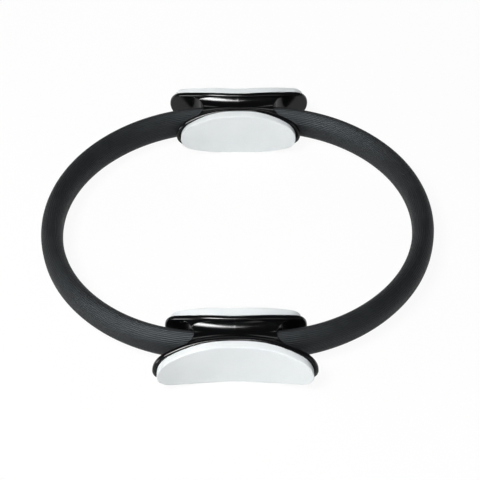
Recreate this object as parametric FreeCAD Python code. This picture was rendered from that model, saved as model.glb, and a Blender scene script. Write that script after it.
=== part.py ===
"""Pilates ring: a springy hoop in a ribbed sleeve, with two padded spool handles. Millimetres.

The ring lies flat. Its axis is Z, the handles face each other along Y, and the origin is the ring's centre on
the surface that it lies on. The far handle is at +Y, and the near handle is the far one turned half round.
"""
import FreeCAD
import Part
import math
import os

# Hoop, along its middle line
clamp_half_length = 25.7
shoulder_radius = 157.0
side_radius = 143.4
side_angle = math.radians(40.0)

# Glass-fibre strip of the hoop, and the butt joint between its two halves
strip_thickness = 3.0
strip_height = 24.0
butt_gap = 0.4

# Sleeve round the strip
sleeve_half_height = 16.0
sleeve_half_thickness = 10.3
sleeve_flat = 2.0
sleeve_end_radius = 7.2
sleeve_depth_in_neck = 3.0

# Handle, both dishes
handle_half_height = 25.6
dish_thickness = 5.0
rim_front_round = 1.6
rim_back_round = 2.2

# Outer dish, which faces away from the ring's centre
outer_half_length = 73.0
outer_flat = 13.5
outer_end_radius = 18.5
outer_face_distance = 14.0
outer_curve_radius = 168.0
outer_pad_end_inset = 2.4

# Inner dish, which faces the ring's centre
inner_half_length = 64.2
inner_flat = 9.5
inner_end_radius = 17.5
inner_face_distance = 13.6
inner_curve_radius = 174.0
inner_pad_end_inset = 4.8

# Neck between the two dishes
neck_half_width = 36.7
neck_wall = 2.6
neck_flare_width = 13.0
neck_edge_round = 1.4
neck_edge_share = 0.4
neck_rim_room = 0.3
saddle_rim_room = 0.3

# Foam pads
pad_thickness = 8.2
pad_side_inset = 0.3
pad_crown = 0.5
pad_front_round = 1.2
pad_back_round = 0.6

# Splice plate and its rivets
plate_end_room = 5.2
plate_side_room = 2.0
plate_thickness = 1.5
plate_corner_radius = 3.0
rivet_radius = 2.0
rivet_head_radius = 3.4
rivet_head_height = 1.2
rivet_head_round = 0.7
rivet_end_distance = 9.0
rivet_side_distance = 5.0

# Screws that hold the two shells together
screw_radius = 2.0
screw_head_radius = 3.8
screw_head_height = 2.6
screw_head_round = 0.9
screw_seat_distance = 8.6
screw_tip_distance = 9.0
screw_point_length = 2.0
screw_point_radius = 0.6
screw_wall = 3.1
screw_spacing_z = 12.0
drive_slot_length = 4.6
drive_slot_width = 1.1
drive_slot_depth = 1.4

# Room between pieces
fit_clearance = 0.3
fastener_clearance = 0.15
glue_film = 0.2

# How far a cutting shape reaches past what it cuts
overrun = 5.0

# How far an edge may lie from where a fillet looks for it
pick_distance = 0.15

up = FreeCAD.Vector(0, 0, 1)
outward = FreeCAD.Vector(0, 1, 0)
sideways = FreeCAD.Vector(1, 0, 0)
origin = FreeCAD.Vector(0, 0, 0)


def rounded_quarter(flat, shoulder, end, angle):
    """Points from the tip on the first axis to the flat on the second: two tangent arcs, then a straight."""
    half_length = flat + shoulder * math.cos(angle) + end * (1 - math.cos(angle))
    half_height = end * math.sin(angle) + shoulder * (1 - math.sin(angle))
    middle = (angle + math.pi / 2) / 2
    joint = (half_length - end + end * math.cos(angle), end * math.sin(angle))
    bend = (flat + shoulder * math.cos(middle), half_height - shoulder + shoulder * math.sin(middle))
    return {"tip": (half_length, 0), "joint": joint, "bend": bend, "flat": (flat, half_height)}


def oval_wire(half_length, half_height, flat, end_radius, place):
    """Closed oval with straight stretches, set in space by place(a, b)."""
    run = half_length - flat - end_radius
    rise = half_height - end_radius
    angle = math.pi / 2 - 2 * math.atan2(rise, run)
    quarter = rounded_quarter(flat, end_radius + run / math.cos(angle), end_radius, angle)

    def at(name, a_sign, b_sign):
        a, b = quarter[name]
        return place(a * a_sign, b * b_sign)

    edges = []
    for side in (1, -1):
        edges.append(Part.Arc(at("joint", side, -side), at("tip", side, side), at("joint", side, side)))
        edges.append(Part.Arc(at("joint", side, side), at("bend", side, side), at("flat", side, side)))
        edges.append(Part.LineSegment(at("flat", side, side), at("flat", -side, side)))
        edges.append(Part.Arc(at("flat", -side, side), at("bend", -side, side), at("joint", -side, side)))
    return Part.Wire([edge.toShape() for edge in edges])


def closed_face(points):
    """Face from corner points; a point given as a pair is an arc's middle followed by its end."""
    edges = []
    last = points[0]
    for point in points[1:] + points[:1]:
        if isinstance(point, tuple):
            edges.append(Part.Arc(last, point[0], point[1]).toShape())
            last = point[1]
        else:
            edges.append(Part.LineSegment(last, point).toShape())
            last = point
    return Part.Face(Part.Wire(edges))


def turned(shape, degrees):
    copy = shape.copy()
    copy.rotate(origin, up, degrees)
    return copy


def moved(shape, x, y, z):
    copy = shape.copy()
    copy.translate(FreeCAD.Vector(x, y, z))
    return copy


hoop = rounded_quarter(clamp_half_length, shoulder_radius, side_radius, side_angle)
hoop_half_depth = hoop["flat"][1]
strip_half = strip_thickness / 2
socket_start = neck_half_width - sleeve_depth_in_neck
neck_half_height = sleeve_half_height + neck_wall
neck_inset = rim_back_round + neck_rim_room
saddle_depth = handle_half_height - neck_inset - saddle_rim_room - neck_half_height
screw_x = socket_start - screw_wall - fit_clearance - screw_head_radius
plate_half_length = screw_x - screw_radius - fit_clearance - plate_end_room
plate_half_height = strip_height / 2 - plate_side_room


def half_hoop(section):
    """Right half of the hoop: a section swept round from one handle's middle to the other's."""
    def at(name, sign):
        x, y = hoop[name]
        return FreeCAD.Vector(x, y * sign, handle_half_height)

    path = [
        Part.LineSegment(FreeCAD.Vector(0, hoop_half_depth, handle_half_height), at("flat", 1)),
        Part.Arc(at("flat", 1), at("bend", 1), at("joint", 1)),
        Part.Arc(at("joint", 1), at("tip", 1), at("joint", -1)),
        Part.Arc(at("joint", -1), at("bend", -1), at("flat", -1)),
        Part.LineSegment(at("flat", -1), FreeCAD.Vector(0, -hoop_half_depth, handle_half_height)),
    ]
    return Part.Wire([edge.toShape() for edge in path]).makePipeShell([section], True, False)


def strip_section(grow):
    half_height = strip_height / 2 + grow
    half_thickness = strip_half + grow
    points = []
    for y, z in ((-1, -1), (1, -1), (1, 1), (-1, 1)):
        point_y = hoop_half_depth + y * half_thickness
        points.append(FreeCAD.Vector(0, point_y, handle_half_height + z * half_height))
    return Part.makePolygon(points + points[:1])


def sleeve_section(grow):
    def place(a, b):
        return FreeCAD.Vector(0, hoop_half_depth + b, handle_half_height + a)

    return oval_wire(sleeve_half_height + grow, sleeve_half_thickness + grow, sleeve_flat,
                     sleeve_end_radius + grow, place)


def middle_block(half_width):
    """Block across both handles, as wide as the stretch of hoop that is to be left out."""
    half_depth = hoop_half_depth + sleeve_half_thickness + overrun
    block = Part.makeBox(2 * half_width, 2 * half_depth, 2 * handle_half_height)
    return moved(block, -half_width, -half_depth, 0)


def corners(x, z):
    return [(x * x_sign, z * z_sign) for x_sign in (-1, 1) for z_sign in (-1, 1)]


rivet_places = corners(plate_half_length - rivet_end_distance, plate_half_height - rivet_side_distance)
screw_places = corners(screw_x, screw_spacing_z / 2)


def rod(radius, start, end, place):
    """Round bar along Y in the far handle, from one distance off the hoop's middle surface to another."""
    base = FreeCAD.Vector(place[0], hoop_half_depth + start, handle_half_height + place[1])
    return Part.makeCylinder(radius, end - start, base, outward)


def make_core():
    """Right strip, with holes at both ends for the rivets and screws."""
    core = half_hoop(strip_section(0)).cut(middle_block(butt_gap / 2))
    reach = strip_half + overrun
    for places, radius in ((rivet_places, rivet_radius), (screw_places, screw_radius)):
        for place in places:
            hole = rod(radius + fit_clearance, -reach, reach, place)
            core = core.cut(hole).cut(turned(hole, 180))
    return core


def make_sleeve():
    bore = half_hoop(strip_section(fit_clearance))
    return half_hoop(sleeve_section(0)).cut(bore).cut(middle_block(socket_start))


# Sizes of the two dishes, which the functions below take in turn. A half handle is drawn with its dish
# facing +Y, and the hoop's middle surface is at y = 0.
outer_dish = {
    "half_length": outer_half_length,
    "flat": outer_flat,
    "end_radius": outer_end_radius,
    "face": outer_face_distance,
    "curve": outer_curve_radius,
    "pad_end_inset": outer_pad_end_inset,
}
inner_dish = {
    "half_length": inner_half_length,
    "flat": inner_flat,
    "end_radius": inner_end_radius,
    "face": inner_face_distance,
    "curve": inner_curve_radius,
    "pad_end_inset": inner_pad_end_inset,
}


def outline_prism(dish, end_inset, side_inset):
    """The dish's outline, drawn in at its ends and sides and carried through the half handle."""
    depth = dish["face"] + dish["half_length"]

    def place(a, b):
        return FreeCAD.Vector(a, 0, b)

    wire = oval_wire(dish["half_length"] - end_inset, handle_half_height - side_inset, dish["flat"],
                     dish["end_radius"] - side_inset, place)
    return Part.Face(wire).extrude(FreeCAD.Vector(0, depth, 0))


def swung(face, dish):
    """A profile in the YZ plane swung both ways about the upright axis that the dish curves round."""
    axis = FreeCAD.Vector(0, dish["face"] + dish["curve"], 0)
    half_angle = math.degrees(math.asin((dish["half_length"] + overrun) / (dish["curve"] - pad_thickness)))
    start = face.copy()
    start.rotate(axis, up, -half_angle)
    return start.revolve(axis, up, 2 * half_angle)


def edges_at(shape, dish, distance):
    """Edges of a dish or pad that lie at one distance from the dish's axis all the way."""
    axis_y = dish["face"] + dish["curve"]

    def strays(point):
        return abs(math.hypot(point.x, axis_y - point.y) - distance) > pick_distance

    return [edge for edge in shape.Edges if not any(strays(point) for point in edge.discretize(Number=3))]


def make_plate(dish):
    """Curved dish with a rounded rim."""
    front = dish["face"]
    back = front - dish_thickness
    profile = closed_face([
        FreeCAD.Vector(0, back, -handle_half_height - overrun),
        FreeCAD.Vector(0, front, -handle_half_height - overrun),
        FreeCAD.Vector(0, front, handle_half_height + overrun),
        FreeCAD.Vector(0, back, handle_half_height + overrun),
    ])
    plate = swung(profile, dish).common(outline_prism(dish, 0, 0))
    plate = plate.makeFillet(rim_front_round, edges_at(plate, dish, dish["curve"]))
    return plate.makeFillet(rim_back_round, edges_at(plate, dish, dish["curve"] + dish_thickness))


def neck_plan(dish):
    """Plan of the neck's right half: an end wall that sweeps in one arc into the back of the dish."""
    axis_y = dish["face"] + dish["curve"]
    back = dish["curve"] + dish_thickness
    inside = back - dish_thickness / 2
    end_angle = math.asin((neck_half_width + neck_flare_width) / back)

    def about_axis(radius, angle):
        return FreeCAD.Vector(radius * math.sin(angle), axis_y - radius * math.cos(angle), 0)

    corner = FreeCAD.Vector(neck_half_width, 0, 0)
    end = about_axis(back, end_angle)
    chord = end - corner
    away = FreeCAD.Vector(math.sin(end_angle), -math.cos(end_angle), 0)
    flare_radius = -chord.Length ** 2 / (2 * chord.dot(away))
    centre = end + away * flare_radius
    middle = centre - (centre - (corner + end) / 2).normalize() * flare_radius
    return closed_face([
        origin,
        corner,
        (middle, end),
        about_axis(inside, end_angle),
        (about_axis(inside, end_angle / 2), about_axis(inside, 0)),
    ])


def saddle_cut(dish):
    """What is scooped out above the neck: an arc from the waist up to just below the rim's rounding."""
    back = dish["face"] - dish_thickness
    rim = neck_half_height + saddle_depth
    top = handle_half_height + overrun
    profile = closed_face([
        FreeCAD.Vector(0, back, rim),
        (FreeCAD.Vector(0, 0, neck_half_height), FreeCAD.Vector(0, -back, rim)),
        FreeCAD.Vector(0, -back, top),
        FreeCAD.Vector(0, back, top),
    ])
    return swung(profile, dish)


def mouth_edges(neck):
    """Upper and lower edges of the neck's swept end, all but the upright ones."""
    def at_end(edge):
        return all(point.x > neck_half_width - pick_distance for point in edge.discretize(Number=3))

    def upright(edge):
        return edge.BoundBox.XLength + edge.BoundBox.YLength < pick_distance

    return [edge for edge in neck.Edges if at_end(edge) and not upright(edge)]


def make_neck(dish):
    """The neck's right half with its rounded mouth, and the same again on the left."""
    height = FreeCAD.Vector(0, 0, 2 * handle_half_height)
    half = moved(neck_plan(dish), 0, 0, -handle_half_height).extrude(height)
    saddle = saddle_cut(dish)
    half = half.common(outline_prism(dish, neck_inset, neck_inset)).cut(saddle)
    half = half.cut(saddle.mirror(origin, up))
    half = half.makeFillet(min(neck_edge_round, saddle_depth * neck_edge_share), mouth_edges(half))
    return half.fuse(half.mirror(origin, sideways)).removeSplitter()


def make_half_shell(dish):
    return make_plate(dish).fuse(make_neck(dish)).removeSplitter()


def front_edges(pad, dish):
    """The loop round a pad's crowned face, which is the face furthest from the dish."""
    axis_point = Part.Vertex(0, dish["face"] + dish["curve"], 0)
    return min(pad.Faces, key=lambda side: side.distToShape(axis_point)[0]).Edges


def make_pad(dish):
    """Foam pad that follows its dish, with a low crown and rounded edges."""
    back = dish["face"] + glue_film
    front = back + pad_thickness - pad_crown
    half_height = handle_half_height - pad_side_inset
    profile = closed_face([
        FreeCAD.Vector(0, back, -half_height),
        FreeCAD.Vector(0, front, -half_height),
        (FreeCAD.Vector(0, front + pad_crown, 0), FreeCAD.Vector(0, front, half_height)),
        FreeCAD.Vector(0, back, half_height),
    ])
    pad = swung(profile, dish).common(outline_prism(dish, dish["pad_end_inset"], pad_side_inset))
    pad = pad.makeFillet(pad_back_round, edges_at(pad, dish, dish["curve"] - glue_film))
    return pad.makeFillet(pad_front_round, front_edges(pad, dish))


def place_outer(shape):
    return moved(shape, 0, hoop_half_depth, handle_half_height)


def place_inner(shape):
    return place_outer(turned(shape, 180))


def pocket(reach):
    """Room for the splice plate and rivet heads, on one side of the strip."""
    half_length = plate_half_length + fit_clearance
    half_height = plate_half_height + fit_clearance
    box = Part.makeBox(2 * half_length, reach, 2 * half_height)
    return moved(box, -half_length, 0, -half_height)


def hoop_room():
    """The strip's slot through the neck, and the sleeve's sockets in its two ends."""
    slot = half_hoop(strip_section(fit_clearance))
    socket = half_hoop(sleeve_section(fit_clearance)).cut(middle_block(socket_start - fit_clearance))
    return [slot, turned(slot, 180), socket, turned(socket, 180)]


def make_outer_shell():
    shell = place_outer(make_half_shell(outer_dish))
    shell = shell.cut(place_outer(pocket(strip_half + rivet_head_height + fit_clearance)))
    beyond = outer_face_distance + outer_half_length
    for place in screw_places:
        shell = shell.cut(rod(screw_radius + fastener_clearance, 0, beyond, place))
        shell = shell.cut(rod(screw_head_radius + fit_clearance, screw_seat_distance, beyond, place))
    return shell.cut(hoop_room())


def make_inner_shell():
    shell = place_inner(make_half_shell(inner_dish))
    shell = shell.cut(place_inner(pocket(strip_half + plate_thickness + rivet_head_height + fit_clearance)))
    hole_end = -screw_tip_distance - fit_clearance
    for place in screw_places:
        shell = shell.cut(rod(screw_radius + fastener_clearance, hole_end, 0, place))
    return shell.cut(hoop_room())


def make_splice_plate():
    box = Part.makeBox(2 * plate_half_length, plate_thickness, 2 * plate_half_height)
    through = [edge for edge in box.Edges if edge.BoundBox.YLength > edge.BoundBox.DiagonalLength / 2]
    plate = box.makeFillet(plate_corner_radius, through)
    plate = place_outer(moved(plate, -plate_half_length, -strip_half - plate_thickness, -plate_half_height))
    reach = strip_half + plate_thickness + overrun
    for place in rivet_places:
        plate = plate.cut(rod(rivet_radius + fastener_clearance, -reach, reach, place))
    return plate


def domed(shape, distance, round_radius):
    """Rounds the rim of a head whose end face lies at one distance off the hoop's middle surface."""
    end_y = hoop_half_depth + distance
    rims = [edge for edge in shape.Edges if edge.BoundBox.YLength < pick_distance
            and abs(edge.BoundBox.YMin - end_y) < pick_distance]
    return shape.makeFillet(round_radius, rims)


def make_rivet(place):
    plate_face = -strip_half - plate_thickness
    factory_head = rod(rivet_head_radius, plate_face - rivet_head_height, plate_face, place)
    set_head = rod(rivet_head_radius, strip_half, strip_half + rivet_head_height, place)
    factory_head = domed(factory_head, plate_face - rivet_head_height, rivet_head_round)
    set_head = domed(set_head, strip_half + rivet_head_height, rivet_head_round)
    return rod(rivet_radius, plate_face, strip_half, place).fuse([factory_head, set_head])


def make_screw(place):
    head_top = screw_seat_distance + screw_head_height
    head = domed(rod(screw_head_radius, screw_seat_distance, head_top, place), head_top, screw_head_round)
    shank = rod(screw_radius, screw_point_length - screw_tip_distance, screw_seat_distance, place)
    tip = FreeCAD.Vector(place[0], hoop_half_depth - screw_tip_distance, handle_half_height + place[1])
    point = Part.makeCone(screw_point_radius, screw_radius, screw_point_length, tip, outward)
    screw = head.fuse([shank, point])
    for length, height in ((drive_slot_length, drive_slot_width), (drive_slot_width, drive_slot_length)):
        slot = moved(Part.makeBox(length, drive_slot_depth + overrun, height), -length / 2, 0, -height / 2)
        slot = place_outer(moved(slot, place[0], head_top - drive_slot_depth, place[1]))
        screw = screw.cut(slot)
    return screw


core = make_core()
sleeve = make_sleeve()
nodes = {
    "core_right": core,
    "core_left": turned(core, 180),
    "sleeve_right": sleeve,
    "sleeve_left": turned(sleeve, 180),
}
handle = {
    "outer_shell": make_outer_shell(),
    "inner_shell": make_inner_shell(),
    "outer_pad": place_outer(make_pad(outer_dish)),
    "inner_pad": place_inner(make_pad(inner_dish)),
    "splice_plate": make_splice_plate(),
    "splice_rivets": Part.makeCompound([make_rivet(place) for place in rivet_places]),
    "shell_screws": Part.makeCompound([make_screw(place) for place in screw_places]),
}
for name, shape in handle.items():
    nodes["far_" + name] = shape
    nodes["near_" + name] = turned(shape, 180)

os.makedirs("parts", exist_ok=True)
for name, shape in nodes.items():
    shape.exportStep("parts/" + name + ".step")
    state = "valid" if shape.isValid() else "INVALID"
    print(name, len(shape.Solids), "solids", round(shape.Volume), "mm3", state)
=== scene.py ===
"""Looks of the pilates ring: ribbed sleeves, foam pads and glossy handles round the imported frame. Metres."""
import bmesh
import bpy
import math
from mathutils import Matrix, Vector


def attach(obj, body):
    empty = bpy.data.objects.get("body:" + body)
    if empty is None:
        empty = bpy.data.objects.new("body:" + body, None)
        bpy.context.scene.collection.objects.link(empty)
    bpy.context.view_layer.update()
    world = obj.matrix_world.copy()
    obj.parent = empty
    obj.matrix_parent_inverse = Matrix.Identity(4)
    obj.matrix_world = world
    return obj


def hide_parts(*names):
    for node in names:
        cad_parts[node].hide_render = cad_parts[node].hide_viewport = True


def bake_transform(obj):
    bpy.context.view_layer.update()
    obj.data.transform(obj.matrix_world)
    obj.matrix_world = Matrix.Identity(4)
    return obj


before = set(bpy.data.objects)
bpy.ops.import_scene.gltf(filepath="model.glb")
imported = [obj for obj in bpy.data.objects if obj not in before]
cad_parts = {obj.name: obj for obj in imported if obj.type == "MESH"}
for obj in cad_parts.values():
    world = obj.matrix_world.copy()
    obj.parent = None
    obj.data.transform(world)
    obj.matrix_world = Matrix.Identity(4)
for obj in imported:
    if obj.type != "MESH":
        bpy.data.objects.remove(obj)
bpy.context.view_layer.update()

# Hoop, along its middle line
clamp_half_length = 0.0257
shoulder_radius = 0.157
side_radius = 0.1434
side_angle = math.radians(40.0)
middle_height = 0.0256

# Sleeve round the strip, with its lengthwise ribs
sleeve_half_height = 0.016
sleeve_half_thickness = 0.0103
sleeve_flat = 0.002
sleeve_end_radius = 0.0072
sleeve_end_x = 0.0337
sleeve_step = 0.004
rib_count = 42
rib_depth = 0.0003
points_per_rib = 6

# Bore of the sleeve, which the strip fills
bore_half_thickness = 0.0018
bore_half_height = 0.0123

# Foam pads
pad_thickness = 0.0082
pad_side_inset = 0.0003
pad_crown = 0.0005
pad_front_round = 0.0012
pad_back_round = 0.0006
glue_film = 0.0002
pad_points = 256
pad_face_inset = 0.012
pad_spine_share = 0.6
round_steps = 6
wall_steps = 4
face_steps = 5
spine_steps = 4

# Dishes that carry the pads, and how each pad departs from an even thickness
outer_dish = {
    "half_length": 0.073,
    "flat": 0.0135,
    "end_radius": 0.0185,
    "face": 0.014,
    "curve": 0.168,
    "pad_end_inset": 0.0042,
    "pad_swell": 0.0,
    "pad_thinning_share": 0.18,
}
inner_dish = {
    "half_length": 0.0642,
    "flat": 0.0095,
    "end_radius": 0.0175,
    "face": 0.0136,
    "curve": 0.174,
    "pad_end_inset": 0.0048,
    "pad_swell": 0.001,
    "pad_thinning_share": 0.4,
}

# Meshes: vertices closer than this are one, and edges sharper than these angles stay sharp
merge_distance = 1e-6
sleeve_sharp_angle = math.radians(60.0)
core_sharp_angle = math.radians(30.0)
pad_sharp_angle = math.radians(50.0)

# Camera
camera_distance = 1.19104
camera_elevation = math.radians(47.829)
camera_azimuth = math.radians(1.5059)
camera_roll = math.radians(-1.4315)
camera_target = Vector((0.002882, -0.021851, middle_height))
camera_lens = 93.04
camera_sensor = 36.0

# Studio
floor_half_size = 12.0
floor_albedo = 0.7
seen_floor_albedo = 0.95
seen_white_share = 0.93
horizon_light = 0.45
zenith_light = 0.06
horizon_height = 0.05
zenith_height = 0.35

# Soft boxes, in watts. Each fills with soft light, shines in reflections, or both.
soft_boxes = {
    "key_box": {"toward": (-0.30, -0.42, 0.85), "distance": 1.5, "size": (0.52, 0.44), "watts": 19.0},
    "left_box": {"toward": (-0.76, -0.6, 0.26), "distance": 1.6, "size": (0.9, 0.4), "watts": 3.2},
    "front_box": {"toward": (0.4, -0.8, 0.45), "distance": 1.8, "size": (1.2, 0.8), "watts": 4.6},
    "back_box": {"toward": (0.0, 0.9, 0.42), "distance": 1.6, "size": (1.2, 0.3), "watts": 2.2},
    "back_fill_box": {"toward": (0.0, 0.97, 0.22), "distance": 1.8, "size": (1.6, 0.5), "watts": 11.0,
                      "shines": False},
    "glint_box": {"toward": (-0.25, -0.3, 0.9), "distance": 1.5, "size": (0.7, 0.5), "watts": 38.0,
                  "fills": False},
    "left_glint_box": {"toward": (-0.82, -0.5, 0.28), "distance": 1.6, "size": (0.9, 0.5), "watts": 18.0,
                       "fills": False},
}


class Oval:
    """Oval of straight stretches and tangent arcs, walked by length from its tip on the first axis."""

    def __init__(self, half_length, half_height, flat, end_radius):
        run = half_length - flat - end_radius
        rise = half_height - end_radius
        self.half_length, self.half_height, self.flat, self.end = half_length, half_height, flat, end_radius
        self.angle = math.pi / 2 - 2 * math.atan2(rise, run)
        self.shoulder = end_radius + run / math.cos(self.angle)
        self.end_length = self.end * self.angle
        self.shoulder_length = self.shoulder * (math.pi / 2 - self.angle)
        self.quarter = self.end_length + self.shoulder_length + flat

    def on_quarter(self, length):
        """Point and outward normal at a length from the tip, in the first quarter."""
        if length < self.end_length:
            turn = length / self.end
            normal = (math.cos(turn), math.sin(turn))
            return (self.half_length - self.end + self.end * normal[0], self.end * normal[1]), normal
        if length < self.end_length + self.shoulder_length:
            turn = self.angle + (length - self.end_length) / self.shoulder
            normal = (math.cos(turn), math.sin(turn))
            base = self.half_height - self.shoulder
            return (self.flat + self.shoulder * normal[0], base + self.shoulder * normal[1]), normal
        return (self.quarter - length, self.half_height), (0.0, 1.0)

    def loop(self, count):
        """Points and normals all round, at equal lengths."""
        found = []
        for index in range(count):
            quarter, length = divmod(index * 4 * self.quarter / count, self.quarter)
            if quarter % 2:
                length = self.quarter - length
            a_sign = 1 if quarter in (0, 3) else -1
            b_sign = 1 if quarter in (0, 1) else -1
            point, normal = self.on_quarter(length)
            found.append(((a_sign * point[0], b_sign * point[1]), (a_sign * normal[0], b_sign * normal[1])))
        return found


def make_hoop():
    half_length = (clamp_half_length + shoulder_radius * math.cos(side_angle)
                   + side_radius * (1 - math.cos(side_angle)))
    half_depth = side_radius * math.sin(side_angle) + shoulder_radius * (1 - math.sin(side_angle))
    return Oval(half_length, half_depth, clamp_half_length, side_radius)


hoop = make_hoop()
quarters = {
    "right_far": (1, 1),
    "right_near": (1, -1),
    "left_far": (-1, 1),
    "left_near": (-1, -1),
}


def add_object(name, mesh):
    made = bpy.data.objects.new(name, mesh)
    bpy.context.scene.collection.objects.link(made)
    return made


def finish_mesh(name, shape, sharp_angle):
    """Object from a bmesh, with outward faces, smooth but for edges sharper than an angle."""
    bmesh.ops.recalc_face_normals(shape, faces=shape.faces)
    for face in shape.faces:
        face.smooth = True
    for edge in shape.edges:
        edge.smooth = edge.calc_face_angle(0) < sharp_angle
    mesh = bpy.data.meshes.new(name)
    shape.to_mesh(mesh)
    shape.free()
    return add_object(name, mesh)


def skin(shape, loops):
    """Quads between closed loops of vertices, each loop to the next."""
    for first, second in zip(loops, loops[1:]):
        count = len(first)
        for index in range(count):
            following = (index + 1) % count
            shape.faces.new((first[index], first[following], second[following], second[index]))


def on_rectangle(half_a, half_b, a, b):
    """Where the ray from the centre through (a, b) leaves a rectangle."""
    scale = min(half_a / max(abs(a), 1e-9), half_b / max(abs(b), 1e-9))
    return a * scale, b * scale


def rib_height(index):
    """Height of the ribbed surface against the crests, from 0 down to the groove's full depth."""
    phase = math.pi * index / points_per_rib
    return rib_depth * (math.sqrt(abs(math.sin(phase))) - 1)


def make_sleeve(name, x_sign, y_sign):
    """Quarter of the sleeve, from the hoop's side to inside the neck."""
    section = Oval(sleeve_half_height, sleeve_half_thickness, sleeve_flat, sleeve_end_radius)
    around = section.loop(rib_count * points_per_rib)
    in_socket = hoop.shoulder * math.asin((sleeve_end_x - hoop.flat) / hoop.shoulder)
    length = hoop.quarter - hoop.flat - in_socket
    stations = math.ceil(length / sleeve_step)
    shape = bmesh.new()
    rib = shape.verts.layers.float.new("rib")
    outside, inside = [], []

    def place(station, up, out):
        (x, y), (normal_x, normal_y) = station
        across = ((x + normal_x * out) * x_sign, (y + normal_y * out) * y_sign)
        return Vector((across[0], across[1], middle_height + up))

    for step in range(stations + 1):
        station = hoop.on_quarter(length * step / stations)
        ring, bore = [], []
        for index, ((up, out), (normal_up, normal_out)) in enumerate(around):
            height = rib_height(index)
            vertex = shape.verts.new(place(station, up + normal_up * height, out + normal_out * height))
            # The rib attribute runs from 1 on the crests to 0 in the grooves; the rubber paints shade into the
            # grooves with it.
            vertex[rib] = 1 + height / rib_depth
            ring.append(vertex)
            bore_up, bore_out = on_rectangle(bore_half_height, bore_half_thickness, up, out)
            bore.append(shape.verts.new(place(station, bore_up, bore_out)))
        outside.append(ring)
        inside.append(bore)
    skin(shape, outside)
    skin(shape, inside)
    for end in (0, -1):
        skin(shape, [outside[end], inside[end]])
    return finish_mesh(name, shape, sleeve_sharp_angle)


def make_core(name, node, y_sign):
    """Half of a strip, cut off at the hoop's side."""
    shape = bmesh.new()
    shape.from_mesh(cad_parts[node].data)
    bmesh.ops.remove_doubles(shape, verts=shape.verts, dist=merge_distance)
    whole = shape.verts[:] + shape.edges[:] + shape.faces[:]
    cut = bmesh.ops.bisect_plane(shape, geom=whole, plane_co=(0, 0, 0), plane_no=(0, y_sign, 0),
                                 clear_inner=True)
    rim = [item for item in cut["geom_cut"] if isinstance(item, bmesh.types.BMEdge)]
    bmesh.ops.holes_fill(shape, edges=rim)
    return finish_mesh(name, shape, core_sharp_angle)


def pad_profile():
    """Steps round a pad's edge from back to front: inset, rise (none on the wall) and share of the height."""
    steps = []
    for step in range(round_steps + 1):
        turn = math.pi / 2 * step / round_steps
        steps.append((pad_back_round * (1 - math.sin(turn)), pad_back_round * (1 - math.cos(turn)), 0.0))
    for step in range(1, wall_steps):
        steps.append((0.0, None, step / wall_steps))
    for step in range(round_steps + 1):
        turn = math.pi / 2 * step / round_steps
        steps.append((pad_front_round * (1 - math.cos(turn)), -pad_front_round * (1 - math.sin(turn)), 1.0))
    for step in range(1, face_steps + 1):
        steps.append((pad_front_round + (pad_face_inset - pad_front_round) * step / face_steps, 0.0, 1.0))
    return steps


def make_pad(name, dish, end_sign, face_sign):
    """Foam pad on a dish: fullest in its middle, with rounded edges, bent round the dish's upright axis."""
    half_length = dish["half_length"] - dish["pad_end_inset"]
    half_height = middle_height - pad_side_inset
    outline = Oval(half_length, half_height, dish["flat"], dish["end_radius"] - pad_side_inset)
    around = outline.loop(pad_points)
    spine = pad_spine_share * outline.half_length
    full = pad_thickness + dish["pad_swell"] - pad_crown
    shape = bmesh.new()

    def front_height(up):
        return full + pad_crown * (1 - (up / half_height) ** 2)

    def place(along, up, height):
        """Point of the pad seen flat, thinned towards the ends and set on its dish."""
        height *= 1 - dish["pad_thinning_share"] * (along / half_length) ** 2
        radius = dish["curve"] - glue_film - height
        out = dish["face"] + dish["curve"] - math.sqrt(radius ** 2 - along ** 2)
        y = end_sign * (hoop.half_height + face_sign * out)
        return Vector((end_sign * face_sign * along, y, middle_height + up))

    def ring(inset, rise, front_share, shrink):
        found = []
        for (along, up), (normal_along, normal_up) in around:
            flat_along = along - normal_along * inset
            flat_up = up - normal_up * inset
            anchor = max(-spine, min(spine, flat_along))
            flat_along += (anchor - flat_along) * shrink
            flat_up *= 1 - shrink
            top = front_height(flat_up)
            if rise is None:
                low, high = pad_back_round, top - pad_front_round
                height = low + (high - low) * front_share
            else:
                height = top * front_share + rise
            found.append(shape.verts.new(place(flat_along, flat_up, height)))
        return found

    loops = [ring(pad_face_inset, 0.0, 0.0, 1 - step / spine_steps) for step in range(spine_steps)]
    loops.append(ring(pad_face_inset, 0.0, 0.0, 0.0))
    loops += [ring(inset, rise, front_share, 0.0) for inset, rise, front_share in pad_profile()]
    loops += [ring(pad_face_inset, 0.0, 1.0, step / spine_steps) for step in range(1, spine_steps + 1)]
    skin(shape, loops)
    bmesh.ops.remove_doubles(shape, verts=shape.verts, dist=merge_distance)
    return finish_mesh(name, shape, pad_sharp_angle)


def add_node(tree, kind, values, settings=None):
    """Adds a shader node. A socket given as a value is linked, and anything else is set."""
    made = tree.nodes.new(kind)
    for name, value in (settings or {}).items():
        setattr(made, name, value)
    for name, value in values.items():
        if isinstance(value, bpy.types.NodeSocket):
            tree.links.new(value, made.inputs[name])
        else:
            made.inputs[name].default_value = value
    return made


def start_material(name, constants):
    """New material with its object coordinates, and a shader with the values that are the same all over."""
    material = bpy.data.materials.new(name)
    material.use_nodes = True
    tree = material.node_tree
    shader = tree.nodes["Principled BSDF"]
    for socket, value in constants.items():
        shader.inputs[socket].default_value = value
    place = add_node(tree, "ShaderNodeTexCoord", {}).outputs["Object"]
    return material, tree, shader, place


def add_noise(tree, place, scale, detail=3.0, roughness=0.55):
    values = {"Vector": place, "Scale": scale, "Detail": detail, "Roughness": roughness}
    return add_node(tree, "ShaderNodeTexNoise", values).outputs["Fac"]


def add_stretch(tree, place, scale):
    return add_node(tree, "ShaderNodeMapping", {"Vector": place, "Scale": scale}).outputs["Vector"]


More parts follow.
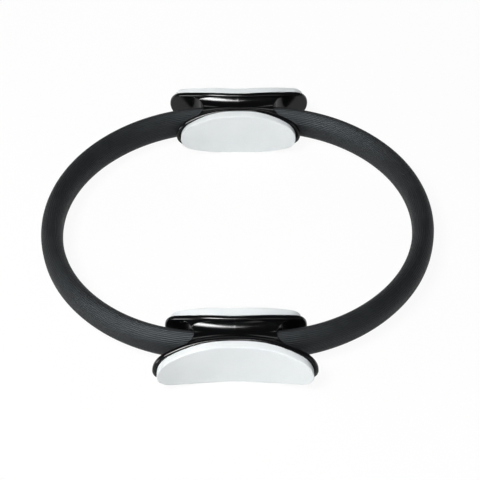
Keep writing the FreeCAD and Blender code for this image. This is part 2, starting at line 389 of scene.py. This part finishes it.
def add_math(tree, operation, first, second=0.0):
    return add_node(tree, "ShaderNodeMath", {0: first, 1: second}, {"operation": operation}).outputs[0]


def add_range(tree, value, low, high, to_low, to_high):
    values = {"Value": value, "From Min": low, "From Max": high, "To Min": to_low, "To Max": to_high}
    return add_node(tree, "ShaderNodeMapRange", values).outputs["Result"]


def add_mix(tree, share, first, second):
    made = add_node(tree, "ShaderNodeMix", {}, {"data_type": "RGBA"})
    for socket, value in ((made.inputs["Factor"], share), (made.inputs[6], first), (made.inputs[7], second)):
        if isinstance(value, bpy.types.NodeSocket):
            tree.links.new(value, socket)
        else:
            socket.default_value = value
    return made.outputs[2]


def add_bump(tree, height, strength, distance, normal=None):
    values = {"Height": height, "Strength": strength, "Distance": distance}
    if normal is not None:
        values["Normal"] = normal
    return add_node(tree, "ShaderNodeBump", values).outputs["Normal"]


def link(tree, shader, **sockets):
    for name, value in sockets.items():
        tree.links.new(value, shader.inputs[name.replace("_", " ")])


def grey(red, green, blue):
    return (red, green, blue, 1.0)


def sleeve_material():
    """Matt charcoal rubber: mottled, finely grained, with painted shade darkening the grooves."""
    constants = {"Specular IOR Level": 0.22, "Specular Tint": (0.86, 0.95, 1.0, 1.0)}
    material, tree, shader, place = start_material("sleeve_rubber", constants)
    mottle = add_range(tree, add_noise(tree, place, 70.0), 0.3, 0.7, 0.0, 1.0)
    body = add_mix(tree, mottle, grey(0.0080, 0.0088, 0.0097), grey(0.0120, 0.0131, 0.0144))
    rib = add_node(tree, "ShaderNodeAttribute", {}, {"attribute_name": "rib"}).outputs["Fac"]
    # Painted shade: the colour darkens where the rib attribute falls to 0 in the grooves between the ribs.
    colour = add_mix(tree, rib, grey(0.0045, 0.0048, 0.0053), body)
    grain = add_noise(tree, place, 2600.0, 2.0)
    link(tree, shader, Base_Color=colour, Roughness=add_range(tree, mottle, 0.0, 1.0, 0.46, 0.54),
         Normal=add_bump(tree, grain, 0.35, 0.0002))
    return material


def shell_material():
    """Glossy black moulded plastic, with a faint mould line, a little orange peel and dull patches."""
    material, tree, shader, place = start_material("shell_plastic", {"Specular IOR Level": 0.25})
    patch = add_noise(tree, place, 45.0, 4.0)
    colour = add_mix(tree, patch, grey(0.0016, 0.0017, 0.0020), grey(0.0034, 0.0036, 0.0042))
    across = add_node(tree, "ShaderNodeSeparateXYZ", {"Vector": place}).outputs["X"]
    off_line = add_math(tree, "ABSOLUTE", across)
    mould_line = add_range(tree, off_line, 0.0, 0.0005, 1.0, 0.0)
    peel = add_bump(tree, add_noise(tree, place, 420.0, 2.0), 0.06, 0.0004)
    link(tree, shader, Base_Color=colour, Roughness=add_range(tree, patch, 0.25, 0.75, 0.1, 0.2),
         Normal=add_bump(tree, mould_line, 0.5, 0.0001, peel))
    return material


def pad_material():
    """Off-white closed-cell foam: soft, matt, with fine pores darkened by painted shade and a slightly uneven
    tone.
    """
    material, tree, shader, place = start_material("pad_foam", {"Specular IOR Level": 0.25})
    tone = add_range(tree, add_noise(tree, place, 30.0), 0.3, 0.7, 0.0, 1.0)
    body = add_mix(tree, tone, grey(0.775, 0.815, 0.825), grey(0.82, 0.85, 0.858))
    cells = add_node(tree, "ShaderNodeTexVoronoi", {"Vector": place, "Scale": 1100.0}).outputs["Distance"]
    # Painted shade: the colour darkens towards the middle of each pore.
    pore_shade = add_range(tree, cells, 0.0, 0.35, 0.0, 1.0)
    colour = add_mix(tree, pore_shade, grey(0.715, 0.755, 0.768), body)
    link(tree, shader, Base_Color=colour, Roughness=add_range(tree, tone, 0.0, 1.0, 0.78, 0.9),
         Normal=add_bump(tree, cells, 0.2, 0.0002))
    return material


def strip_material():
    """Glass-fibre laminate: pale amber resin with lengthwise rovings."""
    material, tree, shader, place = start_material("strip_laminate", {"Specular IOR Level": 0.45})
    roving = add_noise(tree, add_stretch(tree, place, (60.0, 60.0, 1800.0)), 1.0, 3.0)
    colour = add_mix(tree, roving, grey(0.50, 0.46, 0.28), grey(0.70, 0.68, 0.52))
    link(tree, shader, Base_Color=colour, Roughness=add_range(tree, roving, 0.3, 0.7, 0.35, 0.5),
         Normal=add_bump(tree, roving, 0.3, 0.0002))
    return material


def steel_material():
    """Zinc-plated steel with fine brushing and a clouded tone."""
    material, tree, shader, place = start_material("zinc_steel", {"Metallic": 1.0})
    cloud = add_noise(tree, place, 220.0, 4.0)
    colour = add_mix(tree, cloud, grey(0.50, 0.51, 0.52), grey(0.68, 0.68, 0.66))
    brush = add_noise(tree, add_stretch(tree, place, (300.0, 300.0, 6000.0)), 1.0, 2.0)
    link(tree, shader, Base_Color=colour, Roughness=add_range(tree, cloud, 0.3, 0.7, 0.25, 0.42),
         Normal=add_bump(tree, brush, 0.2, 0.0001))
    return material


def floor_material():
    """Pale floor that looks white and still takes a faint shadow."""
    material = bpy.data.materials.new("floor")
    material.use_nodes = True
    tree = material.node_tree
    tree.nodes.clear()
    rays = add_node(tree, "ShaderNodeLightPath", {}).outputs
    seen = add_math(tree, "MAXIMUM", rays["Is Camera Ray"], rays["Is Glossy Ray"])
    seen = add_math(tree, "MAXIMUM", seen, rays["Is Transmission Ray"])
    share = add_math(tree, "MULTIPLY", seen, seen_white_share)
    colour = add_mix(tree, seen, grey(floor_albedo, floor_albedo, floor_albedo),
                     grey(seen_floor_albedo, seen_floor_albedo, seen_floor_albedo))
    paint = add_node(tree, "ShaderNodeBsdfDiffuse", {"Color": colour})
    white = add_node(tree, "ShaderNodeEmission", {"Color": grey(1.0, 1.0, 1.0), "Strength": 1.0})
    mixed = add_node(tree, "ShaderNodeMixShader", {"Fac": share, 1: paint.outputs[0], 2: white.outputs[0]})
    add_node(tree, "ShaderNodeOutputMaterial", {"Surface": mixed.outputs[0]})
    return material


def dress_cad(material, names):
    for name in names:
        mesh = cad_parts[name].data
        mesh.materials.clear()
        mesh.materials.append(material)


def add_sleeves_and_cores():
    rubber = sleeve_material()
    laminate = strip_material()
    for quarter, (x_sign, y_sign) in quarters.items():
        side, end = quarter.split("_")
        sleeve = make_sleeve("sleeve_" + quarter, x_sign, y_sign)
        core = make_core("core_" + quarter, "core_" + side, y_sign)
        for piece, material, slot in ((sleeve, rubber, "sleeve"), (core, laminate, "strip")):
            piece.data.materials.clear()
            piece.data.materials.append(material)
            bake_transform(piece)
        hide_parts("sleeve_" + side)
        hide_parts("core_" + side)


def add_pads():
    foam = pad_material()
    for end, end_sign in (("far", 1), ("near", -1)):
        for face, dish, face_sign in (("outer", outer_dish, 1), ("inner", inner_dish, -1)):
            node = end + "_" + face + "_pad"
            pad = make_pad(end + "_" + face + "_foam", dish, end_sign, face_sign)
            pad.data.materials.append(foam)
            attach(pad, end + "_handle")
            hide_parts(node)


def add_light(name, toward, distance, size, watts, fills=True, shines=True):
    """Soft box that faces the ring's middle from a direction."""
    data = bpy.data.lights.new(name, "AREA")
    data.shape = "RECTANGLE"
    data.size, data.size_y = size
    data.energy = watts
    lamp = add_object(name, data)
    direction = Vector(toward).normalized()
    lamp.location = Vector((0, 0, middle_height)) + direction * distance
    lamp.rotation_mode = "QUATERNION"
    lamp.rotation_quaternion = direction.to_track_quat("Z", "Y")
    lamp.visible_diffuse = fills
    lamp.visible_glossy = shines


def add_studio():
    bpy.ops.mesh.primitive_plane_add(size=2 * floor_half_size, location=(0, 0, 0))
    floor = bpy.context.object
    floor.name = "floor"
    floor.data.materials.append(floor_material())
    for name, values in soft_boxes.items():
        add_light(name, **values)
    world = bpy.data.worlds.new("studio")
    world.use_nodes = True
    bpy.context.scene.world = world
    tree = world.node_tree
    direction = add_node(tree, "ShaderNodeTexCoord", {}).outputs["Generated"]
    height = add_node(tree, "ShaderNodeSeparateXYZ", {"Vector": direction}).outputs["Z"]
    share = add_range(tree, height, horizon_height, zenith_height, 0.0, 1.0)
    low = grey(horizon_light, horizon_light, horizon_light)
    high = grey(zenith_light, zenith_light, zenith_light)
    backdrop = tree.nodes["Background"]
    tree.links.new(add_mix(tree, share, low, high), backdrop.inputs["Color"])


def add_camera():
    data = bpy.data.cameras.new("camera")
    data.lens = camera_lens
    data.sensor_width = camera_sensor
    camera = add_object("camera", data)
    level = Vector((math.cos(camera_azimuth), math.sin(camera_azimuth), 0))
    ahead = Vector((-math.sin(camera_azimuth), math.cos(camera_azimuth), 0))
    forward = ahead * math.cos(camera_elevation) - Vector((0, 0, math.sin(camera_elevation)))
    upright = level.cross(forward)
    right = level * math.cos(camera_roll) + upright * math.sin(camera_roll)
    above = upright * math.cos(camera_roll) - level * math.sin(camera_roll)
    turned = Matrix((right, above, -forward)).transposed().to_4x4()
    camera.matrix_world = Matrix.Translation(camera_target - forward * camera_distance) @ turned
    bpy.context.scene.camera = camera


add_sleeves_and_cores()
add_pads()
handles = ("far_", "near_")
dress_cad(shell_material(), [handle + half for handle in handles for half in ("outer_shell", "inner_shell")])
steel_names = ("splice_plate", "splice_rivets", "shell_screws")
dress_cad(steel_material(), [handle + name for handle in handles for name in steel_names])
add_studio()
add_camera()
bpy.context.scene.view_settings.view_transform = "Standard"
